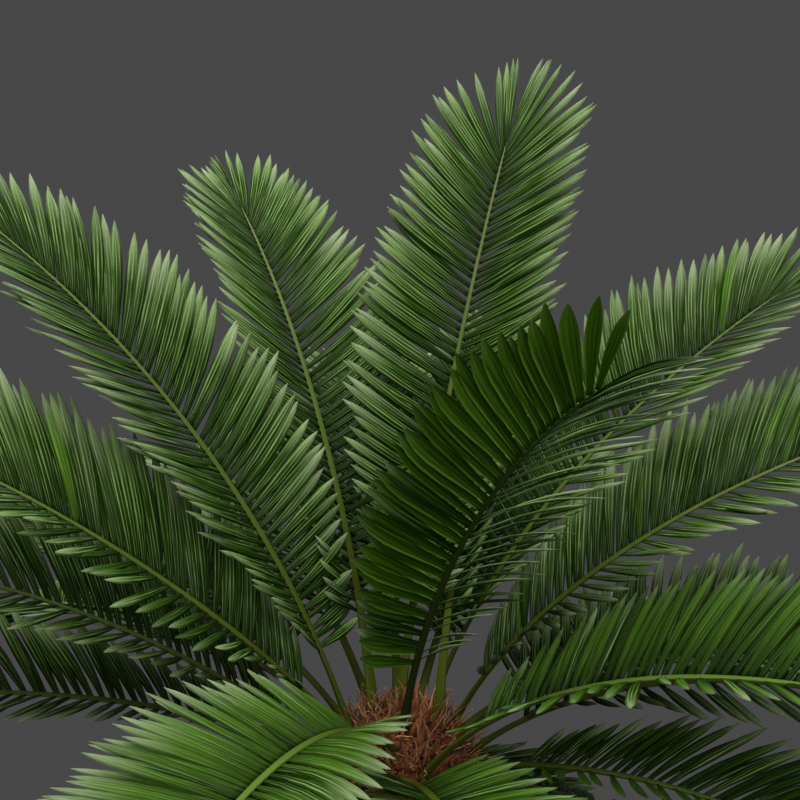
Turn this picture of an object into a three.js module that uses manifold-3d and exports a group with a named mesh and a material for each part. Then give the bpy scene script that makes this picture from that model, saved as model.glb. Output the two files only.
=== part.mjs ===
// Sago palm: a stout trunk clad in old leaf bases, a domed crown set with short pointed scale leaves, and
// arching feather fronds seated in four whorls round it. Millimetres, +Z up. The origin is the middle of the
// trunk's flat cut at the ground.

import * as THREE from "three";
import { mergeVertices } from "three/addons/utils/BufferGeometryUtils.js";
import Module from "manifold-3d";

const wasm = await Module();
wasm.setup();

// ---------------------------------------------------------------------------------------------- driving sizes

const CLEAR = 0.35; // air kept between neighbouring solids

const TRUNK = {
  height: 340, // flat cut at the ground to the seat of the crown
  topRadius: 66,
  waistRadius: 63,
  footRadius: 76, // the flare where the trunk meets the ground
  flareHeight: 70,
  around: 36, // columns of leaf bases' corners, a multiple of 3
  rows: 17,
  baseRelief: 4.2, // how far an old leaf base stands out
};

const CROWN = {
  radius: 69,
  sideHeight: 30, // the upright rim under the dome
  domeHeight: 58,
  around: 20,
  rings: 5,
  scales: 46, // scale leaves tried, in a spiral from the middle outwards
  scaleLength: 30,
  scaleWidth: 11,
  scaleThick: 3.6,
};
const CROWN_LEVEL = 400; // the height that the whorls are measured from

// A whorl: how far from the axis and how high over the crown level its leaf stalks are rooted, and how many
// degrees wider than usual its leaflets stand.
const WHORLS = {
  inner: { radius: 34, height: 22, open: 8 },
  middle: { radius: 48, height: 6, open: 0 },
  outer: { radius: 60, height: -16, open: 0 },
  low: { radius: 60, height: -42, open: 0 },
};

const FROND = {
  pairs: 13, // leaflet teeth on each side; each stands for two or three leaflets
  stalk: 0.13, // the bare share of the length at the foot
  stalkWidth: 13, // the rib's width at its foot, at the first leaflet and at its tip
  ribWidth: 8.5,
  tipWidth: 3.2,
  stalkDepth: 10,
  ribDepth: 6.4,
  tipDepth: 2.6,
  leaflet: 126, // the longest leaflet
  leafThick: 1.7,
  belly: 0.42, // where along a leaflet it is widest
  fill: 0.84, // its width there, as a share of the room it has
  dihedral: 30, // how far the two rows are raised from one flat blade, in degrees
};

// Each frond: whorl, direction of its root, heading, lift at its foot, how far it falls by its tip, how the
// fall is spread (1 is an even arch, less bends early), length in millimetres, and roll about its own rib
// (positive raises the left row). Angles in degrees from +X towards +Y.
const FRONDS = {
  inner_frond_1: ["inner", 97, 57, 77.5, 14.5, 0.83, 605, 11],
  inner_frond_2: ["inner", 147, 120, 78, 39, 0.97, 600, -1],
  inner_frond_3: ["inner", 269, 313, 79, 47, 1.04, 434, -22],
  inner_frond_4: ["inner", 356, 72, 76, 42, 1, 430, 0],
  middle_frond_1: ["middle", 195, 177, 73, 36, 0.96, 640, -31],
  middle_frond_2: ["middle", 58, 2, 80.5, 46, 0.58, 562, 25],
  middle_frond_3: ["middle", 18, 348, 71, 53, 0.53, 580, 28],
  middle_frond_4: ["middle", 216, 200, 49, 24, 1, 580, -31],
  middle_frond_5: ["middle", 345, 6, 54, 84, 0.54, 640, 17],
  middle_frond_6: ["middle", 258, 246, 55, 97, 0.53, 620, -11],
  middle_frond_7: ["middle", 170, 165, 53, 46, 1, 400, -20],
  outer_frond_1: ["outer", 286, 330, 62, 82, 0.57, 665, 15],
  outer_frond_2: ["outer", 203, 197, 46, 38, 0.9, 580, -20],
  outer_frond_3: ["outer", 332, 331, 18, 51, 0.9, 530, 5],
  outer_frond_4: ["outer", 174, 194, 26, 36, 0.9, 650, -16],
  outer_frond_5: ["outer", 5, 345, 44, 68, 0.78, 530, 23],
  outer_frond_6: ["outer", 264, 285, 24, 62, 0.85, 560, 0],
  middle_frond_8: ["middle", 95, 95, 64, 50, 1, 500, 0],
  middle_frond_9: ["middle", 76, 68, 52, 56, 1, 500, 6],
  middle_frond_10: ["middle", 124, 122, 52, 54, 1, 500, -6],
  outer_frond_7: ["outer", 48, 44, 16, 38, 1, 560, 8],
  outer_frond_8: ["outer", 134, 140, 26, 44, 1, 560, -8],
  low_frond_1: ["low", 22, 24, -14, 34, 1, 520, 0],
  low_frond_2: ["low", 70, 70, -16, 32, 1, 500, 0],
  low_frond_3: ["low", 112, 112, -16, 32, 1, 500, 0],
  low_frond_4: ["low", 158, 156, -18, 30, 1, 510, 0],
  low_frond_5: ["low", 214, 216, -14, 32, 1, 530, 0],
  low_frond_6: ["low", 262, 262, -12, 34, 1, 520, 0],
  low_frond_7: ["low", 312, 312, -12, 34, 1, 530, 0],
};

const BARK = new THREE.MeshStandardMaterial({ color: 0x5a4432, roughness: 0.9, metalness: 0 });
const SCALE = new THREE.MeshStandardMaterial({ color: 0x8a4a26, roughness: 0.85, metalness: 0 });
const LEAF = new THREE.MeshStandardMaterial({ color: 0x3c6b2c, roughness: 0.5, metalness: 0 });

// ---------------------------------------------------------------------------------------------------- helpers

const rad = THREE.MathUtils.degToRad;
const mix = THREE.MathUtils.lerp;
const smooth = THREE.MathUtils.smoothstep;
const vec = (x, y, z) => new THREE.Vector3(x, y, z);
const sum = (...terms) => terms.reduce((total, [v, k]) => total.addScaledVector(v, k), vec(0, 0, 0));

// A mesh under way: points, and faces as triangles or quads seen from outside.
class Shell {
  constructor() {
    this.points = [];
    this.faces = [];
  }
  point(p) {
    this.points.push(p.x, p.y, p.z);
    return this.points.length / 3 - 1;
  }
  tri(a, b, c) {
    this.faces.push(a, b, c);
  }
  quad(a, b, c, d) {
    this.faces.push(a, b, c, a, c, d);
  }
  geometry() {
    const g = new THREE.BufferGeometry();
    g.setAttribute("position", new THREE.Float32BufferAttribute(this.points, 3));
    g.setIndex(this.faces);
    return g;
  }
}

function toSolid(geometry, matrix) {
  const g = geometry.clone();
  g.deleteAttribute("normal");
  g.deleteAttribute("uv");
  const merged = mergeVertices(g, 1e-4);
  if (matrix) merged.applyMatrix4(matrix);
  return new wasm.Manifold(
    new wasm.Mesh({
      numProp: 3,
      vertProperties: new Float32Array(merged.attributes.position.array),
      triVerts: new Uint32Array(merged.index.array),
    }),
  );
}

function toGeometry(solid, matrix) {
  const m = solid.getMesh();
  const places = new Float32Array((m.vertProperties.length / m.numProp) * 3);
  for (let i = 0; i < places.length / 3; i++)
    for (let k = 0; k < 3; k++) places[3 * i + k] = m.vertProperties[m.numProp * i + k];
  const g = new THREE.BufferGeometry();
  g.setAttribute("position", new THREE.BufferAttribute(places, 3));
  g.setIndex([...m.triVerts]);
  if (matrix) g.applyMatrix4(matrix);
  g.computeVertexNormals();
  return g;
}

// Closes a ring of points with one large middle triangle and three fans, so the middle of the disc lies
// well inside a face.
function closeRing(shell, ring, up) {
  const n = ring.length;
  const third = Math.round(n / 3);
  const corners = [0, third, 2 * third, n];
  const add = (a, b, c) => (up ? shell.tri(a, b, c) : shell.tri(a, c, b));
  add(ring[0], ring[third], ring[2 * third]);
  for (let k = 0; k < 3; k++)
    for (let i = corners[k] + 1; i + 1 <= corners[k + 1]; i++)
      add(ring[corners[k]], ring[i], ring[(i + 1) % n]);
}

// ------------------------------------------------------------------------------------------------------ trunk

const trunkRadius = (z) =>
  mix(TRUNK.waistRadius, TRUNK.topRadius, z / TRUNK.height) +
  (TRUNK.footRadius - TRUNK.waistRadius) * Math.pow(Math.max(0, 1 - z / TRUNK.flareHeight), 2);

// Rows of points on a slanting net, every third one standing out as the tip of an old leaf base.
function trunkGeometry() {
  const { around, rows, height, baseRelief } = TRUNK;
  const shell = new Shell();
  const net = [];
  for (let j = 0; j <= rows; j++) {
    const z = (height * j) / rows;
    const row = [];
    for (let i = 0; i < around; i++) {
      const turn = (2 * Math.PI * (i + (j % 2) / 2)) / around;
      const tip = (i - Math.floor(j / 2) + 2 * j + 3 * rows) % 3 === 0;
      const edge = j === 0 || j === rows;
      const r = trunkRadius(z) + (edge ? 0 : tip ? baseRelief : -0.35 * baseRelief);
      const lift = !edge && tip ? 0.22 * (height / rows) : 0;
      row.push(shell.point(vec(r * Math.cos(turn), r * Math.sin(turn), z + lift)));
    }
    net.push(row);
  }
  for (let j = 0; j < rows; j++)
    for (let i = 0; i < around; i++) {
      const k = (i + 1) % around;
      const [lo, hi] = [net[j], net[j + 1]];
      if (j % 2 === 0) {
        shell.tri(lo[i], lo[k], hi[i]);
        shell.tri(lo[k], hi[k], hi[i]);
      } else {
        shell.tri(lo[i], hi[k], hi[i]);
        shell.tri(lo[i], lo[k], hi[k]);
      }
    }
  closeRing(shell, net[0], false);
  closeRing(shell, net[rows], true);
  return shell.geometry();
}

// ------------------------------------------------------------------------------------------------------ crown

// The crown's body: an upright rim, then a dome that is flatter than a ball. `grow` fattens it all over.
function domeGeometry(grow = 0) {
  const { radius, sideHeight, domeHeight, around, rings } = CROWN;
  const foot = TRUNK.height + CLEAR;
  const profile = [new THREE.Vector2(0, foot - grow), new THREE.Vector2(TRUNK.topRadius - 1 + grow, foot - grow)];
  for (let k = 0; k <= rings; k++) {
    const a = (Math.PI / 2) * (k / rings);
    const r = k === rings ? 0 : (radius + grow) * Math.pow(Math.cos(a), 0.8);
    profile.push(new THREE.Vector2(r, foot + sideHeight + (domeHeight + grow) * Math.sin(a)));
  }
  const g = new THREE.LatheGeometry(profile, around);
  g.rotateX(Math.PI / 2);
  return g;
}

const domeHeightAt = (r) => {
  const c = Math.min(1, Math.pow(r / CROWN.radius, 1 / 0.8));
  return TRUNK.height + CLEAR + CROWN.sideHeight + CROWN.domeHeight * Math.sqrt(1 - c * c);
};

// One scale leaf: a four-sided spike, widest a third of the way up, its foot sunk in the dome.
function scaleGeometry(turn, r, lean, length, grow = 0) {
  const out = vec(Math.cos(turn), Math.sin(turn), 0);
  const side = vec(-Math.sin(turn), Math.cos(turn), 0);
  const up = sum([out, Math.sin(lean)], [vec(0, 0, 1), Math.cos(lean)]);
  const thick = sum([out, Math.cos(lean)], [vec(0, 0, 1), -Math.sin(lean)]);
  const root = sum([out, r], [vec(0, 0, 1), domeHeightAt(r)], [up, -9]);
  const shell = new Shell();
  const ring = (t, w, d) =>
    [[1, 0], [0, 1], [-1, 0], [0, -1]].map(([a, b]) =>
      shell.point(sum([root, 1], [up, t], [side, a * (w / 2 + grow)], [thick, b * (d / 2 + grow)])),
    );
  const foot = ring(0, 0.8 * CROWN.scaleWidth, CROWN.scaleThick);
  const belly = ring(9 + 0.3 * length, CROWN.scaleWidth, CROWN.scaleThick);
  const tip = shell.point(sum([root, 1], [up, 9 + length + grow], [out, 0.12 * length]));
  for (let i = 0; i < 4; i++) {
    const k = (i + 1) % 4;
    shell.quad(foot[i], belly[i], belly[k], foot[k]);
    shell.tri(belly[i], tip, belly[k]);
  }
  shell.quad(foot[0], foot[1], foot[2], foot[3]);
  return shell.geometry();
}

// ------------------------------------------------------------------------------------------------------ frond

// A frond's rib in its own frame: rooted at the origin and arching over +X. Gives the place, the way along,
// the left and the upper side at each step, turned by the frond's roll.
function ribFrames([, , , lift, fall, bend, length, roll], steps) {
  const frames = [];
  const at = vec(0, 0, 0);
  const fine = 12;
  for (let k = 0; k < steps.length; k++) {
    if (k > 0)
      for (let q = 0; q < fine; q++) {
        const s = mix(steps[k - 1], steps[k], (q + 0.5) / fine);
        const e = rad(lift - fall * Math.pow(Math.max(s, 0), bend));
        at.addScaledVector(vec(Math.cos(e), 0, Math.sin(e)), ((steps[k] - steps[k - 1]) * length) / fine);
      }
    const e = rad(lift - fall * Math.pow(Math.max(steps[k], 0), bend));
    const along = vec(Math.cos(e), 0, Math.sin(e));
    const turn = rad(roll) * smooth(steps[k], 0.05, 0.35);
    const left = vec(0, 1, 0).applyAxisAngle(along, turn);
    const over = vec(-Math.sin(e), 0, Math.cos(e)).applyAxisAngle(along, turn);
    frames.push({ s: steps[k], at: at.clone(), along, left, over });
  }
  return frames;
}

const ribWidth = (s) =>
  s < FROND.stalk
    ? mix(FROND.stalkWidth, FROND.ribWidth, smooth(s, 0, FROND.stalk))
    : mix(FROND.ribWidth, FROND.tipWidth, (s - FROND.stalk) / (1 - FROND.stalk));
const ribDepth = (s) =>
  s < FROND.stalk
    ? mix(FROND.stalkDepth, FROND.ribDepth, smooth(s, 0, FROND.stalk))
    : mix(FROND.ribDepth, FROND.tipDepth, (s - FROND.stalk) / (1 - FROND.stalk));

// Leaflets: how long they are, and their angle to the rib, from the first (0) to the last (1).
const leafletShare = (t) => mix(0.46, 1, smooth(t, -0.08, 0.42)) * mix(1, 0.88, smooth(t, 0.6, 1));
const leafletAngle = (t, open) => rad(77 + open - 26 * t - 29 * Math.pow(t, 7));

// The six corners of the rib's section at one frame: top, left upper, left lower, bottom, right lower, right
// upper. The leaflets stand on the two narrow side faces.
function section(frame, grow = 0) {
  const a = ribWidth(frame.s) / 2 + grow;
  const b = ribDepth(frame.s) / 2 + grow;
  return [[0, b], [a, 0.3 * b], [a, -0.35 * b], [0, -b], [-a, -0.35 * b], [-a, 0.3 * b]].map(([l, o]) =>
    sum([frame.at, 1], [frame.left, l], [frame.over, o]),
  );
}

// The outer corners of one leaflet on the given side between two frames: four round its belly, then its tip.
function leaflet(back, front, side, share, row, grow = 0) {
  const t = ((back.s + front.s) / 2 - FROND.stalk) / (1 - FROND.stalk);
  const angle = leafletAngle(t, WHORLS[row[0]].open);
  const mid = (key) => sum([back[key], 0.5], [front[key], 0.5]).normalize();
  const [along, left, over] = [mid("along"), mid("left"), mid("over")];
  const raise = rad(FROND.dihedral * mix(1, 0.6, t));
  const outward = sum([left, side * Math.cos(raise)], [over, Math.sin(raise)]);
  const way = sum([along, Math.cos(angle)], [outward, Math.sin(angle)]);
  const broad = sum([along, 1], [way, -along.dot(way)]).normalize();
  const face = broad.clone().cross(way).multiplyScalar(side);
  const root = sum([back.at, 0.5], [front.at, 0.5], [left, (side * ribWidth((back.s + front.s) / 2)) / 2]);
  const reach = FROND.leaflet * leafletShare(t) * share * lengthShare(row);
  const room = front.at.distanceTo(back.at) * Math.sin(angle);
  const half = (FROND.fill * room) / 2 + grow;
  const thick = FROND.leafThick / 2 + grow;
  const belly = sum([root, 1], [way, FROND.belly * reach]);
  const corner = (w, d) => sum([belly, 1], [broad, w * half], [face, d * thick]);
  const tip = sum([root, 1], [way, reach + grow], [along, 0.07 * reach], [over, -0.06 * reach]);
  return { points: [corner(-1, 1), corner(1, 1), corner(1, -1), corner(-1, -1)], tip };
}

const lengthShare = (row) => mix(0.82, 1, smooth(row[6], 350, 560));

// A loose leaflet with its root closed, slightly fat, to find out what it would touch.
function looseLeaflet(frames, k, side, share, row) {
  const [back, front] = [frames[k], frames[k + 1]];
  const [p, q] = [section(back, CLEAR), section(front, CLEAR)];
  const { points, tip } = leaflet(back, front, side, share, row, CLEAR);
  const shell = new Shell();
  const root = side > 0 ? [p[1], q[1], q[2], p[2]] : [p[5], q[5], q[4], p[4]];
  const foot = root.map((v) => shell.point(sum([v, 1], [back.left, side * 0.4])));
  const belly = points.map((v) => shell.point(v));
  const end = shell.point(tip);
  const turn = side > 0;
  for (let i = 0; i < 4; i++) {
    const j = (i + 1) % 4;
    if (turn) {
      shell.quad(foot[i], foot[j], belly[j], belly[i]);
      shell.tri(belly[i], belly[j], end);
    } else {
      shell.quad(foot[i], belly[i], belly[j], foot[j]);
      shell.tri(belly[i], end, belly[j]);
    }
  }
  if (turn) shell.quad(foot[3], foot[2], foot[1], foot[0]);
  else shell.quad(foot[0], foot[1], foot[2], foot[3]);
  return shell.geometry();
}

// The whole frond as one closed shell: the rib's faces, and a leaflet grown from each side face that keeps one.
function frondShell(frames, shares, row, grow = 0) {
  const shell = new Shell();
  const rings = frames.map((f) => section(f, grow).map((p) => shell.point(p)));
  for (let k = 0; k + 1 < frames.length; k++) {
    const [p, q] = [rings[k], rings[k + 1]];
    for (let i = 0; i < 6; i++) {
      const j = (i + 1) % 6;
      const side = i === 1 ? 1 : i === 4 ? -1 : 0;
      const share = side ? shares.get(`${k},${side}`) : 0;
      if (!share) {
        shell.quad(p[i], q[i], q[j], p[j]);
        continue;
      }
      const { points, tip } = leaflet(frames[k], frames[k + 1], side, share, row);
      const foot = side > 0 ? [p[1], q[1], q[2], p[2]] : [p[5], q[5], q[4], p[4]];
      const belly = points.map((v) => shell.point(v));
      const end = shell.point(tip);
      for (let a = 0; a < 4; a++) {
        const b = (a + 1) % 4;
        if (side > 0) {
          shell.quad(foot[a], foot[b], belly[b], belly[a]);
          shell.tri(belly[a], belly[b], end);
        } else {
          shell.quad(foot[a], belly[a], belly[b], foot[b]);
          shell.tri(belly[a], end, belly[b]);
        }
      }
    }
  }
  const [first, last] = [rings[0], rings[rings.length - 1]];
  for (let i = 1; i < 5; i++) {
    shell.tri(first[0], first[i], first[i + 1]);
    shell.tri(last[0], last[i + 1], last[i]);
  }
  return shell.geometry();
}

// ------------------------------------------------------------------------------------- putting it together

const group = new THREE.Group();

const trunk = new THREE.Mesh(trunkGeometry(), BARK);
trunk.name = "trunk";
group.add(trunk);

// Each frond gets its frame in the crown: a seat and a heading. Its stalk starts inside the dome and is cut
// back to a little over its surface.
const fronds = Object.entries(FRONDS).map(([name, row]) => {
  const whorl = WHORLS[row[0]];
  const root = rad(row[1]);
  const stand = new THREE.Object3D();
  stand.position.set(
    whorl.radius * Math.cos(root),
    whorl.radius * Math.sin(root),
    CROWN_LEVEL + whorl.height,
  );
  stand.rotation.z = rad(row[2]);
  stand.updateMatrix();
  const steps = [-10 / row[6], FROND.stalk * 0.45, FROND.stalk];
  for (let k = 1; k <= FROND.pairs; k++)
    steps.push(mix(FROND.stalk, 1, 1 - Math.pow(1 - k / FROND.pairs, 1.12)));
  const frames = ribFrames(row, steps);
  frames.forEach((f) => f.at.addScaledVector(frames[0].along, -10));
  const rib = toSolid(frondShell(frames, new Map(), row, CLEAR), stand.matrix);
  return { name, row, stand, frames, rib, shares: new Map(), placed: [] };
});

const boxesMeet = (a, b) => [0, 1, 2].every((k) => a.min[k] < b.max[k] && b.min[k] < a.max[k]);
const meets = (a, b) => boxesMeet(a.box, b.box) && a.solid.intersect(b.solid).volume() > 1e-9;
const boxed = (solid) => ({ solid, box: solid.boundingBox() });

// The crown: scale leaves in a spiral, fused to the dome wherever they clear every stalk.
let crownSolid = toSolid(domeGeometry());
const ribs = fronds.map((f) => boxed(f.rib));
for (let n = 0; n < CROWN.scales; n++) {
  const share = (n + 0.5) / CROWN.scales;
  const turn = n * Math.PI * (3 - Math.sqrt(5));
  const r = 4 + (CROWN.radius - 12) * Math.sqrt(share);
  const length = CROWN.scaleLength * mix(1, 0.62, share) * (0.86 + 0.14 * Math.cos(5 * n));
  const lean = rad(mix(2, 46, Math.pow(share, 1.4)));
  const test = boxed(toSolid(scaleGeometry(turn, r, lean, length, CLEAR)));
  if (ribs.some((rib) => meets(test, rib))) continue;
  crownSolid = crownSolid.add(toSolid(scaleGeometry(turn, r, lean, length)));
}
const crown = new THREE.Mesh(toGeometry(crownSolid), SCALE);
crown.name = "crown";
group.add(crown);

// The leaflets: each one that would touch another frond, the crown or the trunk is shortened, and left out
// where even a third of it would touch.
const still = [boxed(toSolid(trunk.geometry)), boxed(crownSolid)];
for (const frond of fronds) {
  const others = ribs.filter((r) => r.solid !== frond.rib);
  const leaves = fronds.filter((f) => f !== frond).flatMap((f) => f.placed);
  for (let k = 2; k + 1 < frond.frames.length; k++)
    for (const side of [1, -1])
      for (const share of [1, 0.86, 0.72, 0.58, 0.44, 0.33]) {
        const test = boxed(toSolid(looseLeaflet(frond.frames, k, side, share, frond.row), frond.stand.matrix));
        if ([...still, ...others, ...leaves].some((o) => meets(test, o))) continue;
        frond.shares.set(`${k},${side}`, share);
        frond.placed.push(test);
        break;
      }
}

const domeCutter = toSolid(domeGeometry(CLEAR));
for (const { name, row, stand, frames, shares } of fronds) {
  const back = stand.matrix.clone().invert();
  const cut = toSolid(frondShell(frames, shares, row), stand.matrix).subtract(domeCutter);
  const mesh = new THREE.Mesh(toGeometry(cut, back), LEAF);
  mesh.name = name;
  mesh.position.copy(stand.position);
  mesh.rotation.copy(stand.rotation);
  group.add(mesh);
}

export default group;
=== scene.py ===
"""Sago palm: fine leaflets, ribs, crown scales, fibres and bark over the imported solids, and a plain stage."""

import math

import bpy
import numpy as np
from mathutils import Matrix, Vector


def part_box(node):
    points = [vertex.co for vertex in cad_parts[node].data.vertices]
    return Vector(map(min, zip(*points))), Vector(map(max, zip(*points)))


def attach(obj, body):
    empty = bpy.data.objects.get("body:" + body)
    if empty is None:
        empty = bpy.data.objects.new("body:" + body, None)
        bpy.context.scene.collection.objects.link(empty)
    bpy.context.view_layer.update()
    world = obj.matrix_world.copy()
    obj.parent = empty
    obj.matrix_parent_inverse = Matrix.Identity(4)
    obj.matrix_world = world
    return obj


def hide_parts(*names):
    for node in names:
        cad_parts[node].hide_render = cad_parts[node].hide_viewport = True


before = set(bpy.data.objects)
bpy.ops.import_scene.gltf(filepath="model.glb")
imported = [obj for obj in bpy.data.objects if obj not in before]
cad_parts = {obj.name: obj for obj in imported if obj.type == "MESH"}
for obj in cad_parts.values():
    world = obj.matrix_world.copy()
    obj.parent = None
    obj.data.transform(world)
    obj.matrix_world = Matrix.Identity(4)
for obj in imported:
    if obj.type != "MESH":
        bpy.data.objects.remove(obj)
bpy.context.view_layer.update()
TRUNK_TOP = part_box("trunk")[1].z

bl_info = {
    "name": "Sago Palm",
    "version": (1, 0, 0),
    "blender": (4, 5, 0),
    "location": "View3D > Sidebar > Sago Palm",
    "description": "Makes a sago palm's fronds, crown and trunk over its solids, and the stage it stands on",
    "category": "Object",
}

# ---- the palm's rule

CROWN_LEVEL = 0.400  # the height that the whorls are measured from

# Whorl: distance of a stalk's root from the axis, its height over the crown level, and how many degrees wider
# than usual its leaflets stand.
WHORLS = {
    "inner": (0.034, 0.022, 8),
    "middle": (0.048, 0.006, 0),
    "outer": (0.060, -0.016, 0),
    "low": (0.060, -0.042, 0),
}

# Frond: direction of its root, heading, lift at its foot, fall by its tip, how the fall is spread, length,
# roll about its rib, and its green. Angles in degrees.
FRONDS = {
    "inner_frond_1": (97, 57, 77.5, 14.5, 0.83, 0.605, 11, "usual"),
    "inner_frond_2": (147, 120, 78, 39, 0.97, 0.6, -1, "usual"),
    "inner_frond_3": (269, 313, 79, 47, 1.04, 0.434, -22, "shade"),
    "inner_frond_4": (356, 72, 76, 42, 1, 0.43, 0, "usual"),
    "middle_frond_1": (195, 177, 73, 36, 0.96, 0.64, -31, "usual"),
    "middle_frond_2": (58, 2, 80.5, 46, 0.58, 0.562, 25, "bright"),
    "middle_frond_3": (18, 348, 71, 53, 0.53, 0.58, 28, "light"),
    "middle_frond_4": (216, 200, 49, 24, 1, 0.58, -31, "bright"),
    "middle_frond_5": (345, 6, 54, 84, 0.54, 0.64, 17, "usual"),
    "middle_frond_6": (258, 246, 55, 97, 0.53, 0.62, -11, "fresh"),
    "middle_frond_7": (170, 165, 53, 46, 1, 0.4, -20, "usual"),
    "middle_frond_8": (95, 95, 64, 50, 1, 0.5, 0, "usual"),
    "middle_frond_9": (76, 68, 52, 56, 1, 0.5, 6, "usual"),
    "middle_frond_10": (124, 122, 52, 54, 1, 0.5, -6, "usual"),
    "outer_frond_1": (286, 330, 62, 82, 0.57, 0.665, 15, "lush"),
    "outer_frond_2": (203, 197, 46, 38, 0.9, 0.58, -20, "usual"),
    "outer_frond_3": (332, 331, 18, 51, 0.9, 0.53, 5, "dull"),
    "outer_frond_4": (174, 194, 26, 36, 0.9, 0.65, -16, "usual"),
    "outer_frond_5": (5, 345, 44, 68, 0.78, 0.53, 23, "usual"),
    "outer_frond_6": (264, 285, 24, 62, 0.85, 0.56, 0, "dull"),
    "outer_frond_7": (48, 44, 16, 38, 1, 0.56, 8, "usual"),
    "outer_frond_8": (134, 140, 26, 44, 1, 0.56, -8, "usual"),
    "low_frond_1": (22, 24, -14, 34, 1, 0.52, 0, "usual"),
    "low_frond_2": (70, 70, -16, 32, 1, 0.5, 0, "usual"),
    "low_frond_3": (112, 112, -16, 32, 1, 0.5, 0, "usual"),
    "low_frond_4": (158, 156, -18, 30, 1, 0.51, 0, "usual"),
    "low_frond_5": (214, 216, -14, 32, 1, 0.53, 0, "usual"),
    "low_frond_6": (262, 262, -12, 34, 1, 0.52, 0, "usual"),
    "low_frond_7": (312, 312, -12, 34, 1, 0.53, 0, "usual"),
}
STALK = 0.13  # the bare share of a frond's length
BARE = {  # fronds whose bare share is another
    "inner_frond_1": 0.175, "inner_frond_2": 0.165, "inner_frond_3": 0.165, "inner_frond_4": 0.24,
    "middle_frond_1": 0.145, "middle_frond_2": 0.135, "middle_frond_3": 0.11, "middle_frond_4": 0.145,
    "middle_frond_7": 0.25, "middle_frond_8": 0.24, "middle_frond_9": 0.24, "middle_frond_10": 0.25,
    "outer_frond_7": 0.22, "outer_frond_8": 0.24,
}

# A row of leaflets, left (1) or right (-1) of a frond's rib. spacing, width, length, start and end (the
# length at foot and tip) are shares of the usual. rise is the rise at foot and tip, open how much wider the
# leaflets stand, fan how much wider still at the foot than at the tip, and turn the turn of each blade, in
# degrees. droop is a share of the length, gather over 1 is denser at the tip, and belly is where a leaflet is
# broadest. tail is where the last leaflets begin, the degrees they close by, and their width. green is the
# row's own mix of greens.
USUAL_ROW = dict(
    spacing=1.0, width=1.0, length=1.0, start=1.0, end=1.0, rise=(30, 18), open=0, fan=0, turn=0, droop=0.0,
    gather=1.22, belly=0.5, tail=(0.92, 27, 0.84), green=None,
)
ROWS = {
    ("inner_frond_1", 1): dict(length=0.97, end=1.07, open=-5, fan=-14),
    ("inner_frond_1", -1): dict(length=0.97, end=1.12, rise=(28, 17), open=-6, fan=-20),
    ("inner_frond_2", 1): dict(spacing=0.9, width=0.92, length=0.87, end=0.98, rise=(34, 20), open=-11,
        fan=-14),
    ("inner_frond_2", -1): dict(length=0.98, rise=(35, 21), open=-7, fan=6),
    ("inner_frond_3", 1): dict(width=0.68, length=1.17, rise=(18, 27), open=-8, fan=25, turn=-32, droop=0.18,
        green="edge"),
    ("inner_frond_3", -1): dict(spacing=1.15, width=1.74, length=0.95, end=0.93, rise=(40, 55), open=16,
        fan=-8, gather=1.04, belly=0.66, tail=(0.93, 24, 0.6)),
    ("inner_frond_4", 1): dict(length=0.85, open=-12, green="plain"),
    ("inner_frond_4", -1): dict(length=0.7, rise=(44, 34), open=-24, green="plain"),
    ("middle_frond_1", 1): dict(spacing=0.88, width=0.82, rise=(13, 35), open=-6, fan=-23),
    ("middle_frond_1", -1): dict(spacing=0.92, width=1.05, end=0.8, rise=(28, 17), open=-1, fan=29),
    ("middle_frond_2", 1): dict(end=0.86, rise=(42, 28), open=4, fan=3),
    ("middle_frond_2", -1): dict(spacing=1.35, width=0.62, length=0.9, end=0.82, rise=(28, 17), open=-2,
        fan=-19),
    ("middle_frond_3", 1): dict(spacing=0.8, width=1.1, rise=(23, 14), open=-2, fan=-13),
    ("middle_frond_3", -1): dict(spacing=1.2, width=0.76, length=0.76, start=1.25, rise=(23, 14), open=-4,
        fan=-8),
    ("middle_frond_4", 1): dict(spacing=1.35, width=0.88, length=0.96, rise=(16, 36), open=-3, fan=-16,
        green="plain"),
    ("middle_frond_4", -1): dict(spacing=0.85, width=1.1, length=1.05, rise=(32, 19), open=-5, fan=-8),
    ("middle_frond_5", 1): dict(rise=(33, 20), open=4, fan=-17),
    ("middle_frond_5", -1): dict(spacing=1.3, width=0.9),
    ("middle_frond_6", 1): dict(spacing=0.94, width=1.06, length=0.93, end=0.68, open=3, droop=0.13),
    ("middle_frond_6", -1): dict(spacing=0.6, width=0.88, fan=7),
    ("outer_frond_1", 1): dict(spacing=0.76, width=0.86, rise=(32, 19), open=7, fan=-13),
    ("outer_frond_1", -1): dict(spacing=1.7, width=0.95, length=1.05, rise=(17, 48), fan=27, belly=0.42),
    ("outer_frond_2", 1): dict(spacing=1.35, width=0.88, length=0.93, rise=(27, 16), open=1, fan=-24,
        green="plain"),
    ("outer_frond_2", -1): dict(rise=(20, 12), fan=-20),
    ("outer_frond_3", 1): dict(spacing=0.85, width=0.86, rise=(24, 14), open=-6),
    ("outer_frond_3", -1): dict(spacing=1.5, width=0.85, length=0.95, rise=(16, 41), open=5, fan=-29,
        green="shade"),
    ("outer_frond_4", 1): dict(spacing=1.3, width=0.88, open=4, fan=-5),
    ("outer_frond_4", -1): dict(length=0.94, rise=(18, 11), open=3, fan=-8),
    ("outer_frond_5", -1): dict(spacing=1.6, length=0.86, end=0.82, fan=-13, green="dull"),
    ("outer_frond_6", 1): dict(spacing=0.8, length=1.06, open=-12, green="lush"),
    ("outer_frond_6", -1): dict(spacing=0.8),
    ("low_frond_1", 1): dict(length=0.8, rise=(4, 2), open=-10, green="plain"),
    ("low_frond_1", -1): dict(length=0.85, rise=(4, 2), green="plain"),
}

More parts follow.
